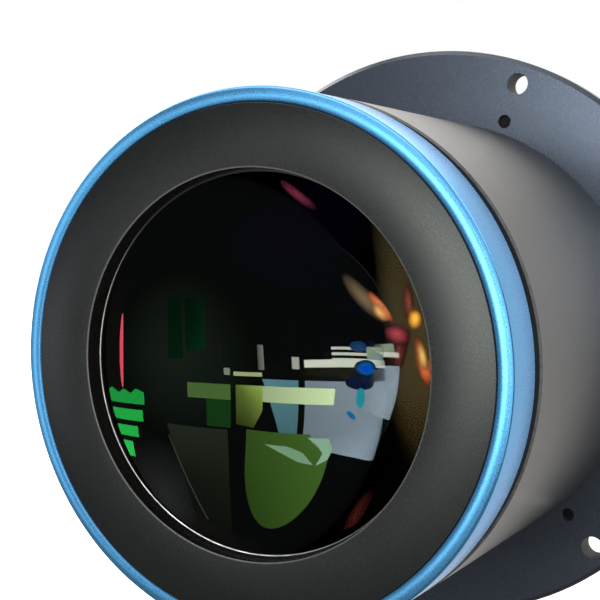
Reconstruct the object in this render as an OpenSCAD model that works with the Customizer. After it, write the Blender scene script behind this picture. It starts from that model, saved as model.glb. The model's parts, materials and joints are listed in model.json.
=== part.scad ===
// Panoramic inspection lens: a large front lens group in a flanged barrel, and behind the flange a cone
// with a small focusing lens, an iris and a turning camera mount. Every piece is a solid of its own.
// Sizes are in millimetres. Stations are measured along the axis from the front face, and the finished
// part has its origin at the centre of the flange's rear face, with the front facing -Y and +Z up.

/* [Front face and trim ring] */
// How far the black face plate reaches in over the glass
face_overlap = 3.1; // [2:0.1:4.5]
// Thickness of the black face plate
face_t = 3.2; // [2.6:0.1:4]
// Small bevel on the edges of the face plate
face_bevel = 0.3; // [0.1:0.05:0.5]
// Width of the blue ring seen from the front
trim_w = 2.8; // [2.3:0.1:3.4]
// Length of the blue ring along the axis
trim_len = 11.1; // [9.5:0.1:14]
// How far the blue ring stays inside the barrel's outline
trim_setback = 0.1; // [0:0.05:0.3]
// Bevel on the outer edges of the blue ring
trim_bevel = 0.5; // [0.2:0.1:0.8]
// Width of the dark groove behind the blue ring
groove_w = 3.1; // [2:0.1:5]
// Depth of the dark groove
groove_depth = 2.5; // [1.8:0.1:3]
// Step down from the groove floor to the screwed front neck
neck_step = 2; // [1.6:0.1:2.4]

/* [Barrel] */
// Outer diameter of the barrel
barrel_d = 97; // [80:0.5:115]
// Radial wall of the barrel round the front glass
front_wall = 10.95; // [9:0.05:13]
// Radial wall of the barrel behind the glass
rear_wall = 8.5; // [7:0.1:10]
// Length of the barrel behind the glass, up to the flange
tail_len = 22; // [18:0.5:40]
// Bevel on the barrel's front shoulder
barrel_bevel = 0.4; // [0.2:0.1:0.8]
// Thickness of the lip that the front lens group seats on
seat_lip_t = 4; // [3:0.5:6]
// How far the seat lip reaches in under the glass
seat_lip_w = 3.5; // [2.5:0.5:5]
// Wall of the barrel's rear neck inside the flange
rear_neck_wall = 3.5; // [2.8:0.1:4]

/* [Flange] */
// How far the flange stands out past the barrel
flange_w = 16.5; // [15:0.5:26]
// Thickness of the flange
flange_t = 6; // [4.5:0.5:10]
// Bevel round the flange
flange_bevel = 1; // [0.5:0.1:1.5]
// Distance from the flange's rim to the centres of the through holes
bolt_edge = 5; // [4:0.1:6]
// Diameter of the through holes
bolt_hole_d = 4.8; // [4:0.1:5.5]
// Number of through holes, and of screws into the flange
bolt_count = 3; // [3:1:6]
// Distance from the barrel to the centres of the tapped holes that hold the cone
tap_step = 2.75; // [2.3:0.05:3.5]
// Thread diameter of those holes
tap_d = 3; // [2.5:0.1:3.5]
// How far the cone's screws end short of the flange's front face
screw_short = 1.4; // [0.5:0.1:2]
// Turn of the hole pattern from the top, clockwise from the front
pattern_turn = 21.4; // [0:0.1:60]

/* [Front lens group] */
// Lip of the front retainer that shows inside the face plate
retainer_lip_w = 0.55; // [0.3:0.05:1]
// Thickness of that lip
retainer_lip_t = 0.8; // [0.6:0.1:1]
// Length of the front retainer
retainer_len = 5.2; // [4.5:0.1:6]
// Wall of the front retainer's screwed skirt
retainer_wall = 1.5; // [1.2:0.1:2]
// Radius of the front lens's front surface
front_rc_a = 145; // [115:5:200]
// Radius of the front lens's back surface
front_rc_b = 160; // [125:5:300]
// Thickness of the front lens at its edge
front_edge = 6.8; // [5:0.1:9]
// Air between the front lens and the meniscus
gap_a = 2; // [1.5:0.1:3]
// Radius of the meniscus's front surface
meniscus_rc_a = 92; // [80:1:110]
// Radius of the meniscus's back surface
meniscus_rc_b = 220; // [180:10:300]
// Thickness of the meniscus at its edge
meniscus_edge = 8; // [6:0.5:10]
// Air between the meniscus and the cemented pair
gap_b = 3; // [2.5:0.1:4]
// Radius of the cemented pair's front surface
pair_rc_a = 70; // [60:1:90]
// Radius of the cemented surface
pair_rc_b = 120; // [100:5:160]
// Thickness of the biconvex half of the pair at its edge
crown_edge = 3.1; // [2:0.1:5]
// Thickness of the hollow half of the pair at its centre
flint_t = 4; // [3:0.5:6]
// Radial width of the spacer rings
spacer_w = 3; // [2.5:0.5:4]
// Thickness of the stray-light baffle
baffle_t = 2; // [1.5:0.5:3]
// How far the baffle reaches in from the barrel's rear bore
baffle_reach = 13; // [8:0.5:16]
// Distance of the baffle behind the seat lip
baffle_set = 12; // [8:0.5:14]
// Width of the ledge that the baffle lies on
baffle_ledge_w = 2; // [1.5:0.1:2.4]

/* [Rear cone] */
// Thickness of the cone's base
cone_base_t = 5; // [4:0.5:6]
// Length of the tapering part
cone_len = 31; // [25:1:40]
// Ledge between the heads of the cone's screws and the taper
cone_ledge_w = 1.55; // [1:0.05:3]
// Radial wall of the cone at its root
cone_wall = 5; // [4:0.5:7]
// Radial wall of the neck round the rear tube
neck_wall = 4.95; // [4:0.05:6]
// Length of the neck
neck_len = 15; // [12:0.5:20]

/* [Rear tube and focus] */
// Outer diameter of the rear tube
tube_d = 40; // [34:0.5:46]
// Radial wall of the rear tube
tube_wall = 3; // [2.5:0.1:3.5]
// How far the tube reaches into the neck
tube_seat_len = 18; // [15:0.5:21]
// Radial wall of the focus ring
focus_ring_wall = 6; // [5:0.5:8]
// Distance from the focus ring's front to the focus pin
focus_pin_set = 7.8; // [6.5:0.1:10]
// Distance from the focus pin to the focus lock screw
focus_lock_set = 6.5; // [5.5:0.1:9]
// Distance from the focus lock screw to the focus ring's rear
focus_lock_edge = 3.1; // [2.6:0.1:5]
// Travel of the focusing cell each way from rest
focus_travel = 1.8; // [1:0.1:2.2]
// Turn of the focus ring each way from rest
focus_turn = 45; // [30:5:50]
// Diameter of the focus pin
focus_pin_d = 2.4; // [2:0.1:2.8]
// Radial wall of the focusing cell
cell_wall = 3.45; // [2.8:0.05:4]
// Radius of both surfaces of the first small lens
relay_a_rc = 40; // [32:1:60]
// Thickness of the first small lens at its edge
relay_a_edge = 2.3; // [1.5:0.1:4]
// Air between the two small lenses
relay_gap = 3; // [2.5:0.5:3.5]
// Radius of the second small lens's front surface
relay_b_rc = 55; // [45:5:80]
// Thickness of the second small lens at its edge
relay_b_edge = 3.3; // [2:0.1:4]

/* [Iris] */
// Distance from the iris plate's rim to the blades' pivots
blade_inset = 4.4; // [4:0.1:5]
// Width of a blade
blade_w = 6.4; // [5.4:0.1:7]
// Thickness of a blade
blade_t = 0.2; // [0.15:0.05:0.25]
// Angle round the axis from a blade's pivot to its drive pin
blade_span = 60; // [55:1:62]
// How far a blade climbs from its pivot to its tip, to pass over the next blade
blade_lift = 0.98; // [0.9:0.02:1.2]
// How far the open blades reach in past the iris plate's bore
blade_show = 0.2; // [0.1:0.05:0.5]
// Swing of a blade from open to closed
blade_swing = 25; // [15:1:26]
// Turn of the iris ring from open to closed
iris_turn = 40; // [30:1:42]
// Diameter of a blade's pins
blade_pin_d = 1.2; // [1:0.1:1.4]
// Thickness of the fixed iris plate
iris_plate_t = 2; // [1.8:0.1:2.4]
// Wall of the slotted iris disc before and behind the drive pin
disc_wall = 0.4; // [0.3:0.05:0.8]
// Diameter of the pin from the iris ring to the disc
drive_pin_d = 1.8; // [1.5:0.1:2.2]
// Length of the ring that holds the iris plate
iris_keeper_len = 2; // [1.5:0.1:2.5]
// Radial wall of the iris ring
iris_ring_wall = 5; // [4:0.5:7]
// Distance from the iris ring's front to the iris lock screw
iris_lock_set = 4.6; // [3.8:0.1:5.5]

/* [Camera mount] */
// Diameter of the camera thread, 1 inch
mount_thread_d = 25.4; // [22:0.1:30]
// Length of the camera thread
mount_thread_len = 4; // [3.2:0.1:5]
// Radial wall inside the camera thread
mount_thread_wall = 1.9; // [1.5:0.1:3]
// Width of the face that a camera seats on
mount_face_w = 4.3; // [3:0.1:5]
// Radial wall of the mount round the rear tube
mount_wall = 5.45; // [4.5:0.05:7]
// Length of the mount's round body
mount_body_len = 11; // [9:0.5:14]
// Length of the mount's tapering rear
mount_taper_len = 5; // [4:0.5:7]
// Radial wall of the rear tube round the field lens
field_wall = 5.45; // [4.5:0.05:6.5]
// Thickness of the field lens
field_t = 5; // [4.5:0.5:5.5]
// Radius of the field lens's curved side
field_rc = 60; // [50:5:100]
// Distance of the field lens's seat behind the iris
field_set = 5; // [4:0.5:5.5]

/* [Grips and lock screws] */
// Number of grip flutes on each ring
flute_count = 30; // [20:1:36]
// Width of a grip flute
flute_w = 2.4; // [1.6:0.1:3]
// Diameter of a lock screw's head
lock_head_d = 7; // [6:0.5:8]
// Height of a lock screw's head
lock_head_h = 6; // [4:0.5:8]
// Thread diameter of a lock screw
lock_d = 3; // [2.4:0.1:3.4]
// Clock position of the focus lock screw
focus_lock_clock = 60; // [50:5:80]
// Clock position of the iris lock screw
iris_lock_clock = 100; // [90:5:110]

/* [Hidden] */
// Smoothness of round pieces, of small rods and of glass surfaces
fine_fn = 144;
small_fn = 32;
glass_fn = 240;
hex_fn = 6;

// Clearances: radial gap of screwed and seated fits, of turning and sliding fits, and air at end faces
fit_gap = 0.05;
run_gap = 0.05;
end_gap = 0.1;
glass_gap = 0.05;
cement_gap = 0.02;
pin_gap = 0.1;
// Overrun of every cut
over = 1;

// Socket screws: head and socket sizes as shares of the thread diameter
head_d_share = 1.8;
head_h_share = 1;
socket_d_share = 0.95;
socket_depth_share = 0.5;
set_socket_share = 0.55;
clear_extra = 0.4;
set_screw_count = 3;

// Depth of a spherical surface of radius rc at distance r from the axis
function sag(rc, r) = rc - sqrt(rc * rc - r * r);

// Front end
barrel_r = barrel_d / 2;
trim_r = barrel_r - trim_setback;
face_r = trim_r - trim_w - fit_gap;
groove_r = barrel_r - groove_depth;
neck_r = groove_r - neck_step;
glass_bore_r = barrel_r - front_wall;
glass_r = glass_bore_r - fit_gap;
face_bore_r = glass_r - face_overlap;
retainer_r = glass_bore_r + retainer_wall;
retainer_end = face_t + retainer_len;
lip_r = face_bore_r - retainer_lip_w;
spacer_r = glass_r - fit_gap;
spacer_in_r = glass_r - spacer_w;
seat_lip_r = glass_bore_r - seat_lip_w;
rear_bore_r = barrel_r - rear_wall;
baffle_bore_r = rear_bore_r - baffle_reach;
baffle_pocket_r = rear_bore_r + baffle_ledge_w;
rear_neck_r = baffle_pocket_r + rear_neck_wall;

// Thicknesses of the front glass at the centre
front_t = front_edge + sag(front_rc_a, glass_r) + sag(front_rc_b, glass_r);
meniscus_t = meniscus_edge + sag(meniscus_rc_a, glass_r) - sag(meniscus_rc_b, glass_r);
crown_t = crown_edge + sag(pair_rc_a, glass_r) + sag(pair_rc_b, glass_r);

// Stations of the front lens group
front_z = face_t + retainer_lip_t + glass_gap - sag(front_rc_a, lip_r);
meniscus_z = front_z + front_t + gap_a;
crown_z = meniscus_z + meniscus_t + gap_b;
flint_z = crown_z + crown_t + cement_gap;
spacer_a_z = front_z + front_t - sag(front_rc_b, spacer_in_r) + glass_gap;
spacer_a_end = meniscus_z + sag(meniscus_rc_a, spacer_in_r) - glass_gap;
spacer_b_z = meniscus_z + meniscus_t + sag(meniscus_rc_b, glass_r) + glass_gap;
spacer_b_end = crown_z + sag(pair_rc_a, spacer_in_r) - glass_gap;
seat_z = flint_z + flint_t + glass_gap;
seat_lip_end = seat_z + seat_lip_t;
baffle_z = seat_lip_end + baffle_set;

// Flange and cone
flange_z = seat_lip_end + tail_len;
flange_end = flange_z + flange_t;
flange_r = barrel_r + flange_w;
bolt_circle_r = flange_r - bolt_edge;
tap_circle_r = barrel_r + tap_step;
cone_screw_head_r = tap_d * head_d_share / 2;
cone_base_margin = 0.5;
cone_base_r = tap_circle_r + cone_screw_head_r + cone_base_margin;
cone_root_r = tap_circle_r - cone_screw_head_r - cone_ledge_w;
cone_bore_r = cone_root_r - cone_wall;
cone_z = flange_end + cone_base_t;
cone_end = cone_z + cone_len;
neck_end = cone_end + neck_len;
cone_throat_step = 2.5;

// Rear tube
tube_r = tube_d / 2;
tube_bore_r = tube_r - tube_wall + fit_gap;
tube_seat_r = tube_r + fit_gap;
neck_out_r = tube_seat_r + neck_wall;
tube_z = neck_end - tube_seat_len;
ring_bore_r = tube_r + run_gap;
neck_screw_d = 3;
neck_screw_z = neck_end - neck_len / 2;

// Focus ring and the tube's collar behind it
focus_z = neck_end + end_gap;
focus_pin_z = focus_z + focus_pin_set;
focus_lock_z = focus_pin_z + focus_lock_set;
focus_end = focus_lock_z + focus_lock_edge;
focus_ring_r = ring_bore_r + focus_ring_wall;
collar_t = 3;
collar_h = 4;
collar_r = tube_r + collar_h;
collar_z = focus_end + end_gap;
collar_end = collar_z + collar_t;

// Small lenses, and the cell that ends a little before the collar's rear
cell_r = tube_bore_r - run_gap;
cell_clear = 0.8;
cell_rim = 0.9;
cell_lip_t = 1.5;
cell_lip_w = 1.3;
relay_bore_r = cell_r - cell_wall;
relay_r = relay_bore_r - fit_gap;
relay_lip_r = relay_r - cell_lip_w;
relay_a_t = relay_a_edge + 2 * sag(relay_a_rc, relay_r);
relay_b_t = relay_b_edge + sag(relay_b_rc, relay_r);
relay_keeper_len = 2.4;
relay_keeper_w = 2;
relay_stack = glass_gap - sag(relay_a_rc, relay_lip_r) + relay_a_t + relay_gap + relay_b_t + glass_gap;
cell_end = collar_z - cell_clear;
cell_z = cell_end - cell_rim - relay_keeper_len - relay_stack - cell_lip_t;
relay_a_z = cell_z + cell_lip_t + glass_gap - sag(relay_a_rc, relay_lip_r);
relay_b_z = relay_a_z + relay_a_t + relay_gap;
relay_spacer_z = relay_a_z + relay_a_t - sag(relay_a_rc, relay_lip_r) + glass_gap;
relay_spacer_end = relay_b_z + sag(relay_b_rc, relay_lip_r) - glass_gap;
relay_keeper_z = relay_b_z + relay_b_t + glass_gap;

// Focus pin, and the helical groove that leads it
focus_pin_clock = 90;
focus_pin_r = focus_pin_d / 2;
focus_pin_in = (relay_bore_r + cell_r) / 2 - focus_pin_r / 2;
focus_groove_depth = 1.9;
focus_pin_out = ring_bore_r + focus_groove_depth - end_gap;
groove_steps = 24;
groove_half = focus_pin_r + pin_gap;
// Turn past each end of the groove that leaves room for the pin
groove_over = asin((groove_half + pin_gap) / tube_r);

// Iris pack, from its fixed keeper back to the tube's shoulder
blade_count = 6;
iris_r = tube_bore_r - run_gap;
blade_r = iris_r - blade_inset;
blade_in_r = blade_r - blade_w / 2;
blade_out_r = blade_r + blade_w / 2;
blade_slope = atan(blade_lift / (blade_r * sin(blade_span)));
blade_pin_r = blade_pin_d / 2;
blade_pin_len = 1.4;
iris_bore_r = blade_in_r + blade_show;
iris_z = collar_end + end_gap;
iris_plate_z = iris_z + iris_keeper_len;
iris_plate_end = iris_plate_z + iris_plate_t;
blade_z = iris_plate_end + blade_w / 2 * tan(blade_slope) + 2 * glass_gap;
blade_rise = blade_lift + blade_w / 2 * tan(blade_slope) + blade_t;
drive_pin_r = drive_pin_d / 2;
iris_disc_t = drive_pin_d + 2 * disc_wall;
iris_disc_z = blade_z + blade_rise + pin_gap;
iris_shoulder_z = iris_disc_z + iris_disc_t + end_gap;
iris_pin_z = iris_disc_z + iris_disc_t / 2;
iris_pin_clock = 250;
drive_pin_grip = 2.4;
drive_pin_in = iris_r - drive_pin_grip;
drive_pin_short = 0.4;
iris_ring_r = ring_bore_r + iris_ring_wall;
iris_ring_margin = 2.4;
iris_ring_end = iris_shoulder_z + iris_ring_margin;
iris_lock_z = iris_z + iris_lock_set;
slot_steps = 16;

// Camera mount
mount_z = iris_ring_end + end_gap;
mount_step = 1.5;
mount_seat_r = tube_r - mount_step;
mount_bore_r = mount_seat_r + run_gap;
mount_r = mount_bore_r + mount_wall;
mount_body_end = mount_z + mount_body_len;
mount_rim = 1;
mount_rim_z = mount_body_end + mount_taper_len;
mount_face_z = mount_rim_z + mount_rim;
mount_end = mount_face_z + mount_thread_len;
mount_bevel = 0.6;
thread_r = mount_thread_d / 2;
thread_bevel = 0.4;
thread_bore_r = thread_r - mount_thread_wall;
mount_face_r = thread_r + mount_face_w;
tube_tail = 2;
tube_end = mount_body_end + tube_tail;
mount_screw_d = 2.5;
mount_screw_set = 6.6;
mount_screw_z = mount_z + mount_screw_set;
mount_groove_depth = 0.9;
mount_groove_r = mount_seat_r - mount_groove_depth;

// Field lens in the tube's end
field_bore_r = mount_seat_r - field_wall;
field_r = field_bore_r - fit_gap;
field_lip_w = 1.5;
field_lip_r = field_r - field_lip_w;
field_seat_z = iris_shoulder_z + field_set;
field_z = field_seat_z + glass_gap - sag(field_rc, field_lip_r);
field_keeper_z = field_z + field_t + glass_gap;
field_keeper_len = 2.4;
field_keeper_w = 2;

// Lock screws and grips
lock_r = lock_d / 2;
lock_head_r = lock_head_d / 2;
lock_flutes = 12;
lock_flute_r = 0.5;
lock_bevel = 0.6;
lock_stand = 0.6;
ring_bevel = 0.6;
grip_margin = 2;
// How far a flute's centre lies outside its ring, as a share of the flute's width
flute_out_share = 0.32;

// Colours
black_finish = [0.10, 0.10, 0.105];
blue_finish = [0.20, 0.50, 0.80];
grey_finish = [0.24, 0.27, 0.29];
steel_finish = [0.62, 0.63, 0.65];
glass_tint = [0.35, 0.45, 0.42, 0.5];

// Places a piece drawn along +Z from the front face, so that its axis lies along +Y
module placed() rotate([-90, 0, 0]) translate([0, 0, -flange_end]) children();

// Turns a piece drawn on the +X side to a clock position, clockwise from the top as seen from the front
module at_clock(angle) rotate([0, 0, angle - 90]) children();

// Outline of a ring's section, with optional bevels on its outer and inner edges
function ring_points(r_in, r_out, z_a, z_b, outer, inner) = concat(
    outer > 0 ? [[r_out - outer, z_a], [r_out, z_a + outer], [r_out, z_b - outer], [r_out - outer, z_b]]
              : [[r_out, z_a], [r_out, z_b]],
    inner > 0 ? [[r_in + inner, z_b], [r_in, z_b - inner], [r_in, z_a + inner], [r_in + inner, z_a]]
              : [[r_in, z_b], [r_in, z_a]]
);

module turned(points) rotate_extrude($fn = fine_fn) polygon(points);

module ring(r_in, r_out, z_a, z_b, outer = 0, inner = 0)
    turned(ring_points(r_in, r_out, z_a, z_b, outer, inner));

// A rod along the axis, and one that points outwards from the axis at a clock position
module rod(r, z_a, z_b) translate([0, 0, z_a]) cylinder(r = r, h = z_b - z_a, $fn = small_fn);

module radial_rod(clock, z, r, from_r, to_r)
    at_clock(clock) translate([from_r, 0, z]) rotate([0, 90, 0])
        cylinder(r = r, h = to_r - from_r, $fn = small_fn);

// Ball whose surface meets the axis at station z: bulging forwards, or bulging backwards
module ball_forward(rc, z) translate([0, 0, z + rc]) sphere(r = rc, $fn = glass_fn);

module ball_backward(rc, z) translate([0, 0, z - rc]) sphere(r = rc, $fn = glass_fn);

// Lens with both sides bulging
module biconvex(r, z, t, rc_a, rc_b)
    intersection() {
        translate([0, 0, z]) cylinder(r = r, h = t, $fn = fine_fn);
        ball_forward(rc_a, z);
        ball_backward(rc_b, z + t);
    }

// Lens with a bulging front and a flat back
module plano_convex(r, z, t, rc)
    intersection() {
        translate([0, 0, z]) cylinder(r = r, h = t, $fn = fine_fn);
        ball_forward(rc, z);
    }

// Set screw with a hex socket, at a clock position
module set_screw(clock, z, d, from_r, to_r)
    difference() {
        radial_rod(clock, z, d / 2, from_r, to_r);
        at_clock(clock) translate([to_r - d * socket_depth_share, 0, z]) rotate([0, 90, 0])
            cylinder(d = d * set_socket_share, h = d, $fn = hex_fn);
    }

// Fluted thumb screw that points outwards
module lock_screw(clock, z, ring_r) {
    head_from = ring_r + lock_stand;
    head_to = head_from + lock_head_h;
    color(black_finish) placed() at_clock(clock) translate([0, 0, z]) rotate([0, 90, 0])
        difference() {
            union() {
                rod(lock_r, ring_bore_r, head_from + lock_bevel);
                ring_head(head_from, head_to);
            }
            for (i = [0 : lock_flutes - 1])
                rotate([0, 0, i * 360 / lock_flutes])
                    translate([lock_head_r, 0, head_from - over])
                        cylinder(r = lock_flute_r, h = lock_head_h + 2 * over, $fn = small_fn);
        }
}

module ring_head(z_a, z_b)
    turned([
        [0, z_a], [lock_head_r - lock_bevel, z_a], [lock_head_r, z_a + lock_bevel],
        [lock_head_r, z_b - lock_bevel], [lock_head_r - lock_bevel, z_b], [0, z_b]
    ]);

// Straight flutes round a grip ring
module flutes(ring_r, z_a, z_b)
    for (i = [0 : flute_count - 1])
        rotate([0, 0, i * 360 / flute_count])
            translate([ring_r + flute_w * flute_out_share, 0, z_a])
                cylinder(d = flute_w, h = z_b - z_a, $fn = small_fn);

// The black annulus round the glass
module face_plate()
    color(black_finish) placed()
        ring(face_bore_r, face_r, 0, face_t, face_bevel, face_bevel);

// The blue ring, which screws onto the barrel's neck and holds the face plate on an inner ledge
module trim_ring()
    color(blue_finish) placed()
        turned([
            [face_r + fit_gap, 0], [trim_r - trim_bevel, 0], [trim_r, trim_bevel],
            [trim_r, trim_len - trim_bevel], [trim_r - trim_bevel, trim_len],
            [neck_r + fit_gap, trim_len], [neck_r + fit_gap, face_t], [face_r + fit_gap, face_t]
        ]);

// Screwed ring whose thin lip shows inside the face plate and holds the front lens
module front_retainer()
    color(black_finish) placed()
        turned([
            [lip_r, face_t], [retainer_r - fit_gap, face_t], [retainer_r - fit_gap, retainer_end],
            [glass_bore_r, retainer_end], [glass_bore_r, face_t + retainer_lip_t],
            [lip_r, face_t + retainer_lip_t]
        ]);

module front_lens()
    color(glass_tint) placed() biconvex(glass_r, front_z, front_t, front_rc_a, front_rc_b);

module front_spacer()
    color(black_finish) placed() ring(spacer_in_r, spacer_r, spacer_a_z, spacer_a_end);

module meniscus_lens()
    color(glass_tint) placed()
        difference() {
            plano_convex(
                glass_r, meniscus_z, meniscus_t + sag(meniscus_rc_b, glass_r), meniscus_rc_a
            );
            ball_forward(meniscus_rc_b, meniscus_z + meniscus_t);
        }

module rear_spacer()
    color(black_finish) placed() ring(spacer_in_r, spacer_r, spacer_b_z, spacer_b_end);

module crown_lens()
    color(glass_tint) placed() biconvex(glass_r, crown_z, crown_t, pair_rc_a, pair_rc_b);

module flint_lens()
    color(glass_tint) placed()
        difference() {
            edge_z = flint_z - sag(pair_rc_b, glass_r);
            translate([0, 0, edge_z])
                cylinder(r = glass_r, h = flint_z + flint_t - edge_z, $fn = fine_fn);
            ball_backward(pair_rc_b, flint_z);
        }

module main_barrel()
    color(grey_finish) placed()
        turned([
            [retainer_r, face_t], [neck_r, face_t], [neck_r, trim_len], [groove_r, trim_len],
            [groove_r, trim_len + groove_w], [barrel_r - barrel_bevel, trim_len + groove_w],
            [barrel_r, trim_len + groove_w + barrel_bevel], [barrel_r, flange_z],
            [rear_neck_r, flange_z], [rear_neck_r, flange_end], [baffle_pocket_r, flange_end],
            [baffle_pocket_r, baffle_z], [rear_bore_r, baffle_z], [rear_bore_r, seat_lip_end],
            [seat_lip_r, seat_lip_end], [seat_lip_r, seat_z], [glass_bore_r, seat_z],
            [glass_bore_r, retainer_end], [retainer_r, retainer_end]
        ]);

// Screwed disc with a knife edge, which keeps stray light off the small lens
module light_baffle()
    color(black_finish) placed()
        turned([
            [baffle_bore_r, baffle_z], [baffle_pocket_r - fit_gap, baffle_z],
            [baffle_pocket_r - fit_gap, baffle_z + baffle_t],
            [baffle_bore_r + baffle_t, baffle_z + baffle_t]
        ]);

module mounting_flange()
    color(grey_finish) placed()
        difference() {
            ring(rear_neck_r + fit_gap, flange_r, flange_z, flange_end, flange_bevel);
            for (i = [0 : bolt_count - 1])
                at_clock(pattern_turn + i * 360 / bolt_count) {
                    translate([bolt_circle_r, 0, 0])
                        rod(bolt_hole_d / 2, flange_z - over, flange_end + over);
                    translate([tap_circle_r, 0, 0]) rod(tap_d / 2, flange_z - over, flange_end + over);
                }
        }

module rear_cone()
    color(black_finish) placed()
        difference() {
            turned([
                [cone_base_r, flange_end], [cone_base_r, cone_z], [cone_root_r, cone_z],
                [neck_out_r, cone_end], [neck_out_r, neck_end], [tube_seat_r, neck_end],
                [tube_seat_r, tube_z - end_gap], [tube_seat_r + cone_throat_step, tube_z - end_gap],
                [cone_bore_r, flange_end + cone_base_t / 2], [cone_bore_r, flange_end]
            ]);
            for (i = [0 : bolt_count - 1])
                at_clock(pattern_turn + i * 360 / bolt_count)
                    translate([tap_circle_r, 0, 0])
                        rod((tap_d + clear_extra) / 2, flange_end - over, cone_z + over);
            for (i = [0 : set_screw_count - 1])
                radial_rod(
                    i * 360 / set_screw_count, neck_screw_z, neck_screw_d / 2 + fit_gap,
                    tube_r - over, neck_out_r + over
                );
        }

// Socket head screws from the cone's base into the flange
module cone_screws()
    color(steel_finish) placed()
        for (i = [0 : bolt_count - 1])
            at_clock(pattern_turn + i * 360 / bolt_count) translate([tap_circle_r, 0, 0])
                difference() {
                    union() {
                        rod(tap_d / 2 - fit_gap, flange_z + screw_short, cone_z + fit_gap);
                        rod(cone_screw_head_r, cone_z, cone_z + tap_d * head_h_share);
                    }
                    translate([0, 0, cone_z + tap_d * (head_h_share - socket_depth_share)])
                        cylinder(d = tap_d * socket_d_share, h = tap_d, $fn = hex_fn);
                }

// Fixed tube that carries the focusing cell, the iris, the field lens and the camera mount
module rear_tube()
    color(black_finish) placed()
        difference() {
            turned([
                [tube_bore_r, tube_z], [tube_r, tube_z], [tube_r, collar_z],
                [collar_r, collar_z], [collar_r, collar_end], [tube_r, collar_end],
                [tube_r, mount_z], [mount_seat_r, mount_z], [mount_seat_r, tube_end],
                [field_bore_r, tube_end], [field_bore_r, field_seat_z], [field_lip_r, field_seat_z],
                [field_lip_r, iris_shoulder_z], [tube_bore_r, iris_shoulder_z]
            ]);
            focus_slot();
            iris_slot();
            ring(
                mount_groove_r, tube_r + over,
                mount_screw_z - mount_screw_d / 2 - pin_gap, mount_screw_z + mount_screw_d / 2 + pin_gap
            );
        }

// Straight slot that keeps the focusing cell from turning
module focus_slot() {
    for (side = [-1, 1])
        radial_rod(
            focus_pin_clock, focus_pin_z + side * focus_travel, groove_half,
            tube_bore_r - over, tube_r + over
        );
    at_clock(focus_pin_clock)
        translate([tube_bore_r - over, -groove_half, focus_pin_z - focus_travel])
            cube([tube_wall + 2 * over, 2 * groove_half, 2 * focus_travel]);
}

// Slot round the tube that lets the iris pin turn
module iris_slot() {
    slot_half = drive_pin_r + pin_gap;
    for (turn = [0, iris_turn])
        radial_rod(iris_pin_clock + turn, iris_pin_z, slot_half, tube_bore_r - over, tube_r + over);
    at_clock(iris_pin_clock)
        rotate_extrude(angle = iris_turn, $fn = fine_fn)
            translate([tube_bore_r - over, iris_pin_z - slot_half])
                square([tube_wall + 2 * over, 2 * slot_half]);
}

module neck_set_screws()
    color(steel_finish) placed()
        for (i = [0 : set_screw_count - 1])
            set_screw(
                i * 360 / set_screw_count, neck_screw_z, neck_screw_d, tube_r, neck_out_r - fit_gap
            );

// Corners of the focus groove's section at one turn of the ring
function groove_corners(turn) = [
    for (corner = [[-over, -1], [focus_groove_depth, -1], [focus_groove_depth, 1], [-over, 1]])
        let (r = ring_bore_r + corner[0])
            [
                r * cos(turn), r * sin(turn),
                focus_pin_z + focus_travel * turn / focus_turn + corner[1] * groove_half
            ]
];

// Helical groove inside the focus ring
module focus_groove() {
    reach = focus_turn + groove_over;
    points = [
        for (i = [0 : groove_steps]) each groove_corners(-reach + 2 * reach * i / groove_steps)
    ];
    last = 4 * groove_steps;
    sides = [
        for (i = [0 : groove_steps - 1], k = [0 : 3])
            let (a = 4 * i + k, b = 4 * i + (k + 1) % 4) [a, b, b + 4, a + 4]
    ];
    at_clock(focus_pin_clock)
        polyhedron(
            points = points,
            faces = concat([[3, 2, 1, 0]], sides, [[last, last + 1, last + 2, last + 3]]),
            convexity = 4
        );
}

module focus_ring()
    color(black_finish) placed()
        difference() {
            ring(ring_bore_r, focus_ring_r, focus_z, focus_end, ring_bevel);
            flutes(focus_ring_r, focus_z + grip_margin, focus_lock_z - lock_d);
            focus_groove();
            radial_rod(
                focus_lock_clock, focus_lock_z, lock_r + run_gap, tube_r - over, focus_ring_r + over
            );
        }

module focus_cell()
    color(black_finish) placed()
        difference() {
            turned([
                [relay_lip_r, cell_z], [cell_r, cell_z], [cell_r, cell_end], [relay_bore_r, cell_end],
                [relay_bore_r, cell_z + cell_lip_t], [relay_lip_r, cell_z + cell_lip_t]
            ]);
            radial_rod(
                focus_pin_clock, focus_pin_z, focus_pin_r + fit_gap / 2, focus_pin_in, cell_r + over
            );
        }

module focus_pin()
    color(steel_finish) placed()
        radial_rod(focus_pin_clock, focus_pin_z, focus_pin_r, focus_pin_in, focus_pin_out);

module relay_front_lens()
    color(glass_tint) placed() biconvex(relay_r, relay_a_z, relay_a_t, relay_a_rc, relay_a_rc);

module relay_spacer()
    color(black_finish) placed() ring(relay_lip_r, relay_r, relay_spacer_z, relay_spacer_end);

module relay_rear_lens()
    color(glass_tint) placed() plano_convex(relay_r, relay_b_z, relay_b_t, relay_b_rc);

module relay_keeper()
    color(black_finish) placed()
        ring(relay_r - relay_keeper_w, relay_r, relay_keeper_z, relay_keeper_z + relay_keeper_len);

module focus_lock_screw() lock_screw(focus_lock_clock, focus_lock_z, focus_ring_r);

module iris_keeper()
    color(black_finish) placed()
        ring(iris_bore_r, iris_r, iris_z, iris_plate_z);

// Fixed plate with a hole for each blade's pivot
module iris_plate()
    color(black_finish) placed()
        difference() {
            ring(iris_bore_r, iris_r, iris_plate_z, iris_plate_end);
            for (i = [0 : blade_count - 1])
                rotate([0, 0, i * 360 / blade_count]) translate([blade_r, 0, 0])
                    rod(blade_pin_r + run_gap, iris_plate_z - over, iris_plate_end + over);
        }

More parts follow.
